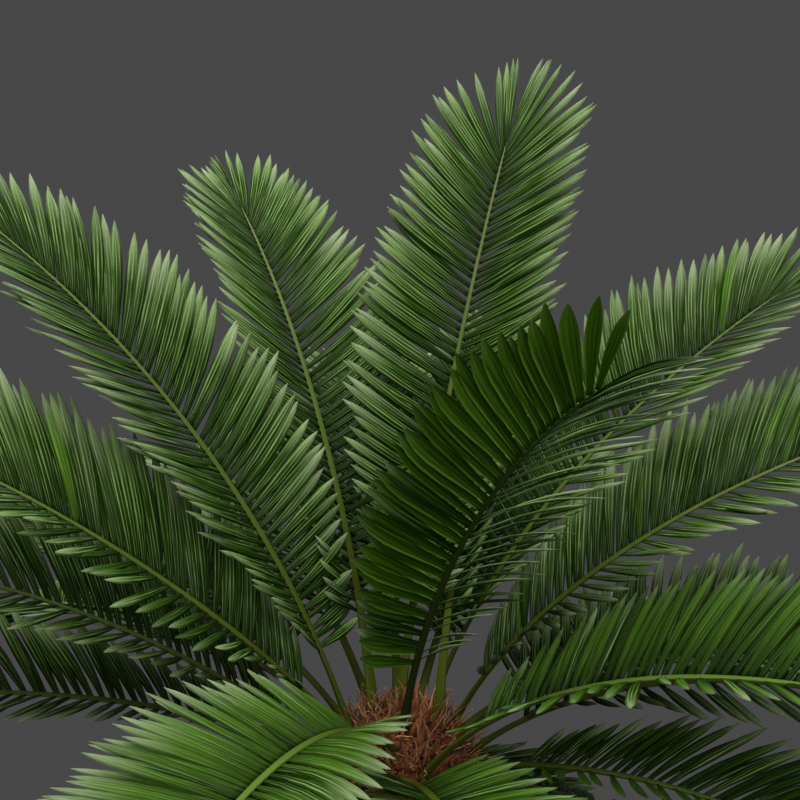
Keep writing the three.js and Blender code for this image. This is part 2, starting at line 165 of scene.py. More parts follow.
# The share of leaflets in each green: deep, usual, fresh (the leaf green made lighter for fronds in the light:
# painted light), grey (pale grey-green tips: painted sheen), shaded (painted shade) with a bright margin
# (painted light through it), lush (halfway to fresh). Rows in shade take the darker mixes and rows in the light
# the paler ones, so the mixes also paint light and shade.
GREENS = {
    "usual": (0.10, 0.71, 0, 0.19, 0, 0),
    "bright": (0.04, 0.49, 0.01, 0.46, 0, 0),
    "light": (0.02, 0.33, 0.13, 0.52, 0, 0),
    "plain": (0.38, 0.62, 0, 0, 0, 0),
    "dull": (0.50, 0.46, 0, 0.04, 0, 0),
    "fresh": (0.02, 0.08, 0.87, 0.03, 0, 0),
    "lush": (0.06, 0.12, 0, 0.02, 0, 0.80),
    "shade": (0.08, 0, 0, 0, 0.92, 0),
    "edge": (0.24, 0.50, 0, 0.26, 0, 0),
}


def fronds_of(whorl):
    """The names of a whorl's fronds."""
    return [name for name in FRONDS if name.startswith(whorl)]


# The fronds whose leaflets are joined in each piece, so that none has too many faces.
LEAFLET_PIECES = {
    "inner_leaflets": fronds_of("inner"),
    "middle_front_leaflets": fronds_of("middle")[:5],
    "middle_back_leaflets": fronds_of("middle")[5:],
    "outer_leaflets": fronds_of("outer"),
    "low_leaflets": fronds_of("low"),
}

# How far leaflets differ by chance: place in spacings, cluster the share of them that begins a new cluster,
# drift (of whole clusters), angle, rise and turn in degrees, reach, bend and sag in shares of the length.
CHANCE = dict(
    place=0.12, cluster=0.26, drift=1.7, angle=1.0, rise=2.2, turn=5, reach=0.035, bend=0.02, sag=0.02
)
# Degrees from the rib: at a row's foot, what they close by evenly, what more by the tip, and the least.
FOOT_ANGLE, CLOSING, TIP_CLOSING, LEAST_ANGLE = 77, 26, 29, 2
TAIL_CLOSES, TAIL_NARROWS = 0.08, 0.06  # the shares of a row in which its tail closes and narrows
FORWARD_BEND, DOWN_BEND = 0.07, 0.06  # how far a leaflet bends along its rib and down, by its length
SHORT_FROND, FULL_FROND, SHORT_SHARE = 0.35, 0.56, 0.82  # shorter fronds have shorter leaflets
GROUND_GAP, GROUND_EASE = 0.006, 0.00006  # how high above the ground leaflets level off, and how softly
LEAFLET_PLACES = np.array([0, 0.06, 0.2, 0.42, 0.62, 0.78, 0.9, 0.97, 1.0])  # a leaflet's rings along it
LEAFLET_SECTION = (0.42, -0.20, 0.03)  # see blades

ARCH_STEPS = 600  # the steps in which a rib's arch is added up
RIB_ROOT = -0.02  # where a rib begins, inside the crown, as a share of its length
RIB_WIDTH = (0.013, 0.0088, 0.0018)  # at the stalk's root, at its end and at the rib's tip
RIB_DEPTH = (0.010, 0.0066, 0.0018)
RIB_END, RIB_CLOSE = 0.965, 0.35  # the share where a rib's end begins to close, and how far it closes

UP = np.array([0, 0, 1.0])


def step(x, low, high):
    """A smooth rise from 0 at low to 1 at high."""
    t = np.clip((x - low) / (high - low), 0, 1)
    return t * t * (3 - 2 * t)


def mix(a, b, t):
    """The value a share t of the way from a to b."""
    return a + (b - a) * t


def blended(a, b, t):
    """The colour a share t of the way from a to b."""
    return tuple(mix(x, y, t) for x, y in zip(a, b))


def dimmed(colour, t):
    """The colour with a share t of its light."""
    return tuple(t * v for v in colour)


def unit(v):
    """The same directions with length 1."""
    return v / np.maximum(np.linalg.norm(v, axis=-1, keepdims=True), 1e-12)


def around(count):
    """Turns evenly spread round a circle."""
    return np.linspace(0, 2 * math.pi, count, endpoint=False)


def turned(r, a, h):
    """Points at the distance r from the axis, the turn a round it and the height h."""
    return np.stack(np.broadcast_arrays(r * np.cos(a), r * np.sin(a), h), -1)


def outwards(turn):
    """The directions outwards and sideways at each turn round the axis."""
    c, s, none = np.cos(turn), np.sin(turn), np.zeros(len(turn))
    return np.stack([c, s, none], -1), np.stack([-s, c, none], -1)


def clear_of_ground(height):
    """The height kept above the gap: half the sum of its excess and the excess's rounded size."""
    above = height - GROUND_GAP
    return GROUND_GAP + (above + np.sqrt(above**2 + GROUND_EASE)) / 2


def rib_frames(name, s):
    """The rib's place and its three directions at each share s of its length.

    The lift above level falls from its foot's by fall times s to the power of the spread, and the place is
    the sum of the way so far from the stalk's root. The left and upper sides turn with the roll.
    """
    root, heading, lift, fall, spread, length, roll, _ = FRONDS[name]
    radius, height, _ = WHORLS[name.split("_")[0]]
    fine = np.linspace(0, 1, ARCH_STEPS + 1)
    rise = np.radians(lift - fall * fine**spread)
    between = (rise[1:] + rise[:-1]) / 2
    out = np.concatenate([[0], np.cumsum(np.cos(between))]) * length / ARCH_STEPS
    up = np.concatenate([[0], np.cumsum(np.sin(between))]) * length / ARCH_STEPS
    before = np.minimum(s, 0) * length
    forward = np.interp(s, fine, out) + before * math.cos(rise[0])
    above = np.interp(s, fine, up) + before * math.sin(rise[0])
    e = np.interp(s, fine, rise)
    a, b = math.radians(heading), math.radians(root)
    flat = np.array([math.cos(a), math.sin(a), 0.0])
    side = np.array([-math.sin(a), math.cos(a), 0.0])
    seat = np.array([radius * math.cos(b), radius * math.sin(b), CROWN_LEVEL + height])
    at = seat + forward[:, None] * flat + above[:, None] * UP
    along = np.cos(e)[:, None] * flat + np.sin(e)[:, None] * UP
    raised = np.cos(e)[:, None] * UP - np.sin(e)[:, None] * flat
    turn = (math.radians(roll) * step(s, 0.05, 0.35))[:, None]
    left = np.cos(turn) * side + np.sin(turn) * raised
    over = np.cos(turn) * raised - np.sin(turn) * side
    return at, along, left, over


def rib_size(s, size):
    """The rib's width or depth at each share of its length: a soft taper up the stalk, then an even one."""
    root, end, tip = size
    blade = mix(end, tip, (s - STALK) / (1 - STALK))
    return np.where(s < STALK, mix(root, end, step(s, 0, STALK)), blade)


def leaflet_share(t):
    """Length of the leaflets along a row, by the longest: short at the foot, less so at the tip."""
    late = mix(1, 0.88, step(t, 0.6, 1))
    return mix(0.46, 1, step(t, -0.08, 0.42)) * late * mix(1, 0.88, step(t, 0.92, 1))


def leaflet_angle(t, wider):
    """Angle between leaflets and rib: the foot's, less an even closing and one by the seventh power."""
    return np.radians(FOOT_ANGLE + wider - CLOSING * t - TIP_CLOSING * t**7)


# ---- meshes

CELL_HEIGHT = 6.0  # how much taller than wide a tube's cell is in the layout


def closed_tubes(name, rings, coords=None, sharp=(), tones=None, materials=(), atlas=True):
    """Joined closed tubes from an array of rings: tube, step along, point round, place.

    Each tube is skinned ring to ring, and its ends are closed by a strip of faces across the ring. coords
    gives a pattern place for each point, sharp the points round whose lines along stay creased, and tones the
    material of each tube. atlas adds a second layout, where each tube has a cell of its own.
    """
    n, k, m, _ = rings.shape
    index = np.arange(n * k * m, dtype=np.int32).reshape(n, k, m)
    near, far = index[:, :-1], index[:, 1:]
    skin = np.stack([near, np.roll(near, -1, 2), np.roll(far, -1, 2), far], -1).reshape(n, -1, 4)
    j = np.arange(m // 2 - 1)
    across = np.stack([j, j + 1, m - 2 - j, m - 1 - j], -1)
    foot, tip = index[:, 0][:, across[:, ::-1]], index[:, -1][:, across]
    faces = np.concatenate([skin, foot, tip], 1)
    per = faces.shape[1]
    faces = faces.reshape(-1, 4)
    points = rings.reshape(-1, 3)
    first = points[faces[:per]]
    spans = np.cross(first[:, 1], first[:, 2]) + np.cross(first[:, 2], first[:, 3])
    if (first[:, 0] * spans).sum() < 0:  # the tubes are inside out
        faces = faces[:, ::-1]
    mesh = bpy.data.meshes.new(name)
    mesh.vertices.add(len(points))
    mesh.vertices.foreach_set("co", points.astype(np.float32).ravel())
    mesh.loops.add(faces.size)
    mesh.loops.foreach_set("vertex_index", faces.ravel())
    mesh.polygons.add(len(faces))
    mesh.polygons.foreach_set("loop_start", np.arange(0, faces.size, 4, dtype=np.int32))
    for material in materials:
        mesh.materials.append(material)
    if tones is not None:
        mesh.polygons.foreach_set("material_index", np.repeat(tones, per).astype(np.int32))
    mesh.update(calc_edges=True)
    mesh.polygons.foreach_set("use_smooth", np.ones(len(faces), bool))
    if sharp:
        ends = np.empty(len(mesh.edges) * 2, np.int32)
        mesh.edges.foreach_get("vertices", ends)
        place = ends.reshape(-1, 2) % m
        crease = (place[:, 0] == place[:, 1]) & np.isin(place[:, 0], sharp)
        mesh.attributes.new("sharp_edge", "BOOLEAN", "EDGE").data.foreach_set("value", crease)
    if coords is not None:
        layer = mesh.uv_layers.new(name="pattern")
        layer.data.foreach_set("uv", coords.reshape(-1, 2)[faces.ravel()].astype(np.float32).ravel())
    if atlas:
        lay_out(mesh, faces, n, k, m, per)
    if mesh.validate(verbose=False):
        raise RuntimeError(f"{name}: the mesh had faces that couldn't be kept")
    piece = bpy.data.objects.new(name, mesh)
    bpy.context.scene.collection.objects.link(piece)
    return piece


def lay_out(mesh, faces, n, k, m, per):
    """A layout with no overlaps: each tube unrolled in a tall cell, its two ends beside it in that cell."""
    columns = math.ceil(math.sqrt(n * CELL_HEIGHT))
    rows = math.ceil(n / columns)
    tube = np.arange(len(faces)) // per
    part = np.arange(len(faces)) % per
    belt, turn = part // m, part % m
    on_skin = part < (k - 1) * m
    cap = part - (k - 1) * m
    low = np.where(on_skin, turn, m + 0.1) / (m + 1)
    high = np.where(on_skin, turn + 1, m + 0.9) / (m + 1)
    bottom = np.where(on_skin, belt / (k - 1), cap / m)
    top = np.where(on_skin, (belt + 1) / (k - 1), (cap + 0.8) / m)
    x = np.stack([low, high, high, low], -1)
    y = np.stack([bottom, bottom, top, top], -1)
    if faces[0, 1] != 1:  # the faces were turned over
        x, y = x[:, ::-1], y[:, ::-1]
    # A little room is left round each cell.
    x = ((tube % columns)[:, None] + 0.04 + 0.92 * x) / columns
    y = ((tube // columns)[:, None] + 0.02 + 0.96 * y) / rows
    layer = mesh.uv_layers.new(name="OFBake")
    layer.data.foreach_set("uv", np.stack([x, y], -1).astype(np.float32).ravel())


def blades(axis, side, face, width, thick, places, number, section):
    """Rings of thin blades, and the pattern place of each point.

    A ring has six points: two margins and, between them, an upper and a lower pair. section is how far out
    the pairs stand, by half the width, and how high the margins and the pairs stand, by the width. The
    pattern place is the blade's number plus the share across it, and the share along it.
    """
    out, margin, ridge = section
    across = np.array([-1, -out, out, 1, out, -out])
    high = np.array([margin, ridge, ridge, margin, ridge, ridge])
    under = np.array([0, 0.5, 0.5, 0, -0.5, -0.5])
    sideways = 0.5 * width[..., None] * across
    height = width[..., None] * high + thick[..., None] * under
    rings = axis[:, :, None] + sideways[..., None] * side[:, :, None] + height[..., None] * face[:, :, None]
    x = (across * 0.49 + 0.5) + number[:, None, None] + np.zeros(rings.shape[:3])
    y = np.broadcast_to(places[None, :, None], x.shape)
    return rings, np.stack([x, y], -1)


def put(piece, slot, *nodes):
    """The piece rides on the plant and stands for these solids; slot is not used."""
    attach(piece, "root")
    if nodes:
        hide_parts(*nodes)


# ---- materials


class Finish:
    """A material whose nodes are added one after another."""

    def __init__(self, name, roughness, specular):
        self.material = bpy.data.materials.get(name) or bpy.data.materials.new(name)
        self.material.use_nodes = True
        self.tree = self.material.node_tree
        self.tree.nodes.clear()
        self.out = self.tree.nodes.new("ShaderNodeOutputMaterial")
        self.shader = self.tree.nodes.new("ShaderNodeBsdfPrincipled")
        self.shader.inputs["Roughness"].default_value = roughness
        self.shader.inputs["Specular IOR Level"].default_value = specular
        self.join(self.shader.outputs["BSDF"], self.out.inputs["Surface"])

    def join(self, a, b):
        self.tree.links.new(a, b)

    def feed(self, socket, value):
        """A number or colour is set on the socket itself, and an output is joined to it."""
        if isinstance(value, (int, float)):
            socket.default_value = value
        elif isinstance(value, tuple):
            socket.default_value = (*value, 1)
        else:
            self.join(value, socket)

    def node(self, kind, **settings):
        made = self.tree.nodes.new(kind)
        for key, value in settings.items():
            setattr(made, key, value)
        return made

    def math(self, operation, a, b=0.0):
        made = self.node("ShaderNodeMath", operation=operation)
        for socket, value in zip(made.inputs, (a, b)):
            self.feed(socket, value)
        return made.outputs[0]

    def times(self, a, b):
        return self.math("MULTIPLY", a, b)

    def ramp(self, value, low, high, to_low=0.0, to_high=1.0):
        """A smooth change from to_low, where the value is low, to to_high, where it is high."""
        made = self.node("ShaderNodeMapRange", interpolation_type="SMOOTHSTEP")
        self.join(value, made.inputs[0])
        for socket, number in zip(made.inputs[1:5], (low, high, to_low, to_high)):
            socket.default_value = number
        return made.outputs[0]

    def blend(self, share, a, b):
        """The colour a share of the way from a to b."""
        made = self.node("ShaderNodeMix", data_type="RGBA")
        for socket, value in ((made.inputs[0], share), (made.inputs[6], a), (made.inputs[7], b)):
            self.feed(socket, value)
        return made.outputs[2]

    def noise(self, place, scale, detail=2.0, stretch=(1, 1, 1), roughness=0.5):
        mapping = self.node("ShaderNodeMapping")
        mapping.inputs["Scale"].default_value = stretch
        self.join(place, mapping.inputs[0])
        made = self.node("ShaderNodeTexNoise")
        made.inputs["Scale"].default_value = scale
        made.inputs["Detail"].default_value = detail
        made.inputs["Roughness"].default_value = roughness
        self.join(mapping.outputs[0], made.inputs["Vector"])
        return made.outputs[0]

    def lot(self, number):
        """A chance value of its own for each whole number."""
        made = self.node("ShaderNodeTexWhiteNoise", noise_dimensions="1D")
        self.join(number, made.inputs["W"])
        return made.outputs[0]

    def object_place(self):
        return self.node("ShaderNodeTexCoord").outputs["Object"]

    def pattern_place(self):
        return self.node("ShaderNodeUVMap", uv_map="pattern").outputs[0]

    def split(self, place):
        made = self.node("ShaderNodeSeparateXYZ")
        self.join(place, made.inputs[0])
        return made.outputs

    def colour(self, value):
        self.join(value, self.shader.inputs["Base Color"])

    def relief(self, height, depth, strength):
        made = self.node("ShaderNodeBump")
        made.inputs["Strength"].default_value = strength
        made.inputs["Distance"].default_value = depth
        self.join(height, made.inputs["Height"])
        self.join(made.outputs[0], self.shader.inputs["Normal"])


LEAF_TIP_SHEEN = (0.46, 0.54, 0.38)  # painted sheen: what the very tips of the leaflets pale towards
BLADE_LINES, FULL_TURN = 3.6, 6.2832  # the lines across a blade, and a wave's full turn


def leaf_finish(name, deep, body, pale, rim, bold=1.0, tip_sheen=0.7):
    """Waxy green: a dark neck (painted shade) that pales to the tip (painted light), thin pale lines along the
    blade (painted highlights on its ridges) with dark lines between them (painted shade), and its own margin
    (painted shade between the leaflets, or painted light through the margin of the shaded ones).

    bold is how strongly the lines show, and the last argument how white the painted sheen on the very tip is.
    """
    f = Finish(name, roughness=0.42, specular=0.07)
    place = f.pattern_place()
    x, y, _ = f.split(place)
    across, number = f.math("FRACT", x), f.math("FLOOR", x)
    lot, other = f.lot(number), f.lot(f.math("ADD", number, 0.37))
    wander = f.noise(place, 1, 2, (3, 0.8, 1), 0.6)
    wave = f.math("SINE", f.times(f.math("ADD", f.times(across, BLADE_LINES), wander), FULL_TURN))
    fine = f.noise(place, 1, 3, (11, 1.4, 1), 0.7)

    # Painted shade at the neck, by the rib, and the darker leaflets, a tone dealt by chance.
    neck = f.blend(0.72, body, deep)
    colour = f.blend(f.ramp(y, 0.02, 0.6), neck, body)
    colour = f.blend(f.ramp(other, 0.3, 1, 0, 0.45), colour, deep)

    # Painted shade: dark lines in the grooves along the blade, coarse and fine.
    shadow = f.times(f.ramp(wave, -0.98, -0.25, 1, 0), 0.75 * bold)
    colour = f.blend(shadow, colour, deep)
    colour = f.blend(f.ramp(fine, 0.34, 0.50, 0.8 * bold, 0), colour, deep)

    # Painted light: the pale tip, pale lines as painted highlights on the blade's ridges, and the white painted
    # sheen of the very tip.
    tip = f.times(f.ramp(y, 0.5, 1), f.ramp(lot, 0, 1, 0.3, 0.9))
    colour = f.blend(tip, colour, pale)
    lines = f.times(f.ramp(wave, 0.45, 0.97), f.ramp(fine, 0.40, 0.58))
    colour = f.blend(f.times(lines, f.ramp(y, 0, 0.6, 0.35 * bold, 0.95 * bold)), colour, pale)
    white = f.times(f.ramp(y, 0.78, 1), f.ramp(other, 0, 1, tip_sheen, 0.15))
    colour = f.blend(white, colour, blended(pale, LEAF_TIP_SHEEN, 0.5))

    # The margin: painted shade where leaflets meet, or on the shaded leaflets painted light through it; less
    # towards the tip.
    edge = f.ramp(f.math("ABSOLUTE", f.math("SUBTRACT", across, 0.5)), 0.34, 0.45)
    colour = f.blend(f.times(edge, f.ramp(y, 0.55, 1, 0.92, 0.3)), colour, rim)
    f.colour(colour)
    f.join(f.ramp(fine, 0.3, 0.7, 0.36, 0.58), f.shader.inputs["Roughness"])
    f.relief(f.math("ADD", f.times(wave, 0.35), fine), depth=0.0008, strength=0.7)
    return f.material


def rib_finish(name, foot, middle, tip):
    """Smooth olive rib: darker towards its foot, painted shade underneath, with faint lines along it."""
    f = Finish(name, roughness=0.45, specular=0.14)
    place = f.pattern_place()
    x, y, _ = f.split(place)
    lines = f.noise(place, 1, 2, (14, 9, 1))
    body = f.blend(f.ramp(y, 0.10, 0.5), foot, middle)
    body = f.blend(f.ramp(y, 0.5, 1), body, tip)
    body = f.blend(f.times(f.ramp(lines, 0.42, 0.75), 0.45), body, foot)
    # Painted shade: the underside, away from the rib's top, darker.
    below = f.ramp(f.math("ABSOLUTE", f.math("SUBTRACT", x, 0.25)), 0.12, 0.34)
    body = f.blend(f.times(below, 0.45), body, dimmed(foot, 0.3))
    f.colour(body)
    f.relief(lines, depth=0.0005, strength=0.4)
    return f.material


def husk_finish(name, dark, warm, straw):
    """Dry scale leaf: dark foot (painted shade among the crowded scales), warm middle, straw tip (its dry
    colour and a painted highlight) and torn fibres along it.
    """
    f = Finish(name, roughness=0.7, specular=0.12)
    place = f.pattern_place()
    _, y, _ = f.split(place)
    strands = f.noise(place, 1, 3, (16, 2.2, 1), 0.65)
    # Painted shade: the foot darker where the scales crowd into the crown.
    body = f.blend(f.ramp(y, 0.05, 0.6), dark, warm)
    body = f.blend(f.times(f.ramp(strands, 0.48, 0.72), 0.8), body, straw)
    # The straw tip: the dry colour and a painted highlight.
    body = f.blend(f.times(f.ramp(y, 0.75, 1), 0.5), body, straw)
    f.colour(body)
    f.relief(strands, depth=0.0012, strength=0.8)
    return f.material


def felt_finish(name, dark, warm):
    """The crown's dense brown felt."""
    f = Finish(name, roughness=0.9, specular=0.2)
    hair = f.noise(f.object_place(), 420, 3, (1, 1, 0.25), 0.7)
    f.colour(f.blend(f.ramp(hair, 0.38, 0.7), dark, warm))
    f.relief(hair, depth=0.003, strength=1.0)
    return f.material


def fibre_finish(name, colour):
    """A loose fibre: one colour with darker streaks."""
    f = Finish(name, roughness=0.6, specular=0.15)
    streak = f.noise(f.object_place(), 300, 2)
    f.colour(f.blend(f.ramp(streak, 0.35, 0.65), dimmed(colour, 0.35), colour))
    f.relief(streak, depth=0.0004, strength=0.5)
    return f.material


def bark_finish(name, dark, worn, lichen):
    """Old leaf bases: dark hollows (painted shade), worn grey-brown faces with fine grain, a little lichen."""
    f = Finish(name, roughness=0.88, specular=0.25)
    place = f.object_place()
    grain = f.noise(place, 160, 4, (1, 1, 0.5), 0.7)
    blotch = f.noise(place, 14, 3)
    _, y, _ = f.split(f.pattern_place())
    # Painted shade: the hollows and cut ends darker, by the tone that the trunk's pattern place carries.
    body = f.blend(f.ramp(y, 0.25, 0.85), dark, worn)
    body = f.blend(f.times(f.ramp(grain, 0.45, 0.7), 0.6), body, dark)
    body = f.blend(f.times(f.ramp(blotch, 0.55, 0.75), 0.35), body, lichen)
    f.colour(body)
    f.relief(grain, depth=0.003, strength=0.9)
    return f.material


def floor_finish(name, pale):
    """A matt pale floor with a faint grain."""
    f = Finish(name, roughness=0.7, specular=0.3)
    grain = f.noise(f.object_place(), 60, 3)
    f.colour(f.blend(grain, dimmed(pale, 0.97), pale))
    return f.material


# ---- settings


def length_property(name, description, default):
    """A setting in metres."""
    return bpy.props.FloatProperty(name=name, description=description, default=default, unit="LENGTH")


def colour_property(name, description, default):
    """A setting that is a colour."""
    return bpy.props.FloatVectorProperty(
        name=name, description=description, default=default, size=3, min=0, max=1, subtype="COLOR"
    )


class PalmSizes(bpy.types.PropertyGroup):
    """Sizes of the palm's fine parts."""

    leaflet_length: length_property("Leaflet length", "Length of the longest leaflet", 0.126)
    leaflet_width: length_property("Leaflet width", "Greatest width of a leaflet", 0.0118)
    leaflet_thickness: length_property("Leaflet thickness", "Thickness of a leaflet's blade", 0.0008)
    leaflet_spacing: length_property("Leaflet spacing", "Distance between leaflets along a rib", 0.0090)
    leaflet_twist: bpy.props.FloatProperty(
        name="Leaflet twist", description="How far each blade is turned about its own line",
        default=math.radians(-10), subtype="ANGLE",
    )
    scale_count: bpy.props.IntProperty(
        name="Scale leaves", description="Number of dry scale leaves on the crown", default=260, min=10
    )
    scale_length: length_property("Scale length", "Length of the longest scale leaf", 0.0275)
    fibre_count: bpy.props.IntProperty(
        name="Fibres", description="Number of loose fibres among the scale leaves", default=230, min=10
    )
    bark_relief: length_property("Bark relief", "How far an old leaf base stands out", 0.0055)


class PalmColours(bpy.types.PropertyGroup):
    """Colours of the palm and its stage."""

    # Deep green also paints the shade at the necks, in the grooves and between the leaflets.
    leaf_deep: colour_property("Deep green", "Leaflets in their darkest parts", (0.004, 0.015, 0.0005))
    leaf_mid: colour_property("Leaf green", "The usual green of the leaflets", (0.038, 0.11, 0.003))
    leaf_fresh: colour_property("Fresh green", "Leaflets of the fronds in the light", (0.082, 0.2, 0.012))
    # Pale green paints the highlights on the lines and the light on the tips.
    leaf_pale: colour_property("Pale green", "Lines and tips of the leaflets", (0.3, 0.445, 0.17))
    # Greyed green paints the sheen on the leaflet tips.
    leaf_grey: colour_property("Greyed green", "Tips of the leaflets that have greyed", (0.43, 0.52, 0.31))
    # The bright margin of the shaded leaflets is painted light shining through it.
    leaf_rim: colour_property("Margin", "Margins of the shaded leaflets", (0.07, 0.15, 0.008))
    rib_foot: colour_property("Stalk", "Frond stalks near the crown", (0.066, 0.09, 0.006))
    rib_middle: colour_property("Rib", "Ribs along the blade", (0.095, 0.152, 0.022))
    rib_fresh: colour_property("Fresh rib", "Ribs of the fronds in the light", (0.125, 0.235, 0.03))
    rib_tip: colour_property("Rib tip", "Ribs towards their tips", (0.16, 0.215, 0.055))
    husk_dark: colour_property("Husk shade", "Scale leaves at their foot", (0.024, 0.009, 0.005))
    husk_warm: colour_property("Husk", "Scale leaves", (0.33, 0.11, 0.04))
    husk_straw: colour_property("Straw", "Fibres and scale tips", (0.74, 0.41, 0.2))
    bark_dark: colour_property("Bark shade", "Hollows of the bark", (0.022, 0.014, 0.01))
    bark_worn: colour_property("Bark", "Worn faces of the old leaf bases", (0.13, 0.088, 0.06))
    lichen: colour_property("Lichen", "The little lichen on the bark", (0.16, 0.17, 0.12))
    backdrop: colour_property("Backdrop", "The even grey behind the palm", (0.065, 0.064, 0.066))
    floor: colour_property("Floor", "The pale floor", (0.62, 0.61, 0.59))


def sizes():
    return bpy.context.scene.palm_sizes


def own_settings(group):
    """The names of a group's own settings."""
    return [key for key in group.bl_rna.properties.keys() if key not in ("rna_type", "name")]


def palette():
    """The colours by name, as plain tuples."""
    group = bpy.context.scene.palm_colours
    return {key: tuple(getattr(group, key)) for key in own_settings(group)}


# ---- fronds


def leaflet_rings(name, side, rng):
    """Rings of one row of leaflets of a frond, the pattern place of each point, and each leaflet's green.

    Leaflet axis: from the rib's side, its share of the reach times the way out, plus that share squared times
    a bend along the rib and down. Width: a short neck, then a strap that is broadest at the row's belly, then
    a long point. Section: six points, margins turned down, a low ridge on either side of the middle.
    """
    z = sizes()
    rule = {**USUAL_ROW, **ROWS.get((name, side), {})}
    *_, length, _, green = FRONDS[name]
    bare = BARE.get(name, STALK)

    # Places along the rib.
    n = int(length * (1 - bare) / (z.leaflet_spacing * rule["spacing"]))
    k = (np.arange(n) + 0.5) / n
    t = np.clip(1 - (1 - k) ** rule["gather"] + rng.normal(0, CHANCE["place"] / n, n), 0, 1)
    s = mix(bare, 1, t)
    at, along, left, over = rib_frames(name, s)

    # Ways out, in clusters that stand apart, closing in the row's tail.
    cluster = np.cumsum(rng.random(n) < CHANCE["cluster"])
    drift = rng.normal(0, 1.0, cluster.max() + 1)[cluster]
    wider = WHORLS[name.split("_")[0]][2] + rule["open"] + rule["fan"] * (0.5 - t)
    stray = CHANCE["drift"] * drift + rng.normal(0, CHANCE["angle"], n)
    angle = leaflet_angle(t, wider) + np.radians(stray)
    tail, close, narrow = rule["tail"]
    closing = math.radians(close) * step(t, tail, tail + TAIL_CLOSES)
    angle = np.maximum(angle - closing, math.radians(LEAST_ANGLE))
    lift = np.radians(mix(*rule["rise"], t) + rng.normal(0, CHANCE["rise"], n))
    out = side * left * np.cos(lift)[:, None] + over * np.sin(lift)[:, None]
    way = along * np.cos(angle)[:, None] + out * np.sin(angle)[:, None]

    # Lengths and axes.
    small = mix(SHORT_SHARE, 1, step(length, SHORT_FROND, FULL_FROND))
    share = leaflet_share(t) * rule["length"] * mix(1, rule["end"], step(t, 0.6, 1))
    share = share * mix(rule["start"], 1, step(t, 0.08, 0.5))
    reach = z.leaflet_length * share * small * (1 + rng.normal(0, CHANCE["reach"], n))
    root = at + (side * rib_size(s, RIB_WIDTH) * 0.40)[:, None] * left
    bend = along * (FORWARD_BEND + rng.normal(0, CHANCE["bend"], n))[:, None] - over * DOWN_BEND
    sag = (np.abs(rng.normal(CHANCE["sag"], CHANCE["sag"], n)) + rule["droop"])[:, None] * -UP
    bend = (bend + sag)[:, None]
    u = LEAFLET_PLACES[None, :, None]
    axis = root[:, None] + reach[:, None, None] * (u * way[:, None] + u * u * bend)
    axis[..., 2] = clear_of_ground(axis[..., 2])

    # Sides and faces, turned about the axis.
    tangent = unit(way[:, None] + 2 * u * bend)
    flat = along[:, None]
    broad = unit(flat - (flat * tangent).sum(-1, keepdims=True) * tangent)
    face = np.cross(broad, tangent) * side
    twist = z.leaflet_twist * mix(1, 0.3, t) + np.radians(rule["turn"] + rng.normal(0, CHANCE["turn"], n))
    cos, sin = np.cos(twist)[:, None, None], np.sin(twist)[:, None, None]
    broad, face = (broad * cos + face * sin) * side, face * cos - broad * sin

    # Widths: half wide at the root, full at the belly, a point from two thirds on.
    point = np.clip((LEAFLET_PLACES - 0.64) / 0.36, 0, 1)
    profile = mix(0.46, 1, step(LEAFLET_PLACES, -0.04, rule["belly"])) * (1 - 0.95 * point**2.3)
    slim = mix(0.72, 1, leaflet_share(t)) * mix(1, narrow, step(t, tail, tail + TAIL_NARROWS))
    width = z.leaflet_width * rule["width"] * slim[:, None] * profile
    thick = z.leaflet_thickness * mix(0.5, 1, profile) * np.ones((n, 1))
    number = np.arange(n) + rng.integers(0, 900)
    rings, coords = blades(axis, broad, face, width, thick, LEAFLET_PLACES, number, LEAFLET_SECTION)

    # Near the row's tip the later, paler greens of the mix are dealt more often: painted light towards the
    # fronds' tips.
    dealt = np.cumsum(GREENS[rule["green"] or green])
    lot = 1 - (1 - rng.random(n)) * mix(1, 0.38, step(t, 0.55, 1.0))
    return rings, coords, np.minimum(np.searchsorted(dealt, lot), len(dealt) - 1)


def rib_rings(name):
    """Rings of one rib: a rounded section with a flat, faintly grooved top, carried along the arch."""
    stalk, blade = np.linspace(RIB_ROOT, STALK, 16)[:-1], np.linspace(STALK, 1.0, 44)
    s = np.concatenate([stalk, blade])
    at, _, left, over = rib_frames(name, s)
    turn = around(12)
    a, b = np.cos(turn), np.sin(turn)
    b = np.where(b > 0, 0.62 * b - 0.16 * b**6, b)
    close = mix(1, RIB_CLOSE, step(s, RIB_END, 1.0))
    wide = (rib_size(s, RIB_WIDTH) / 2 * close)[:, None] * a
    deep = (rib_size(s, RIB_DEPTH) / 2 * close)[:, None] * b
    rings = at[:, None] + wide[..., None] * left[:, None] + deep[..., None] * over[:, None]
    coords = np.broadcast_arrays(turn / (2 * np.pi), s[:, None])
    return rings, np.stack(coords, -1)


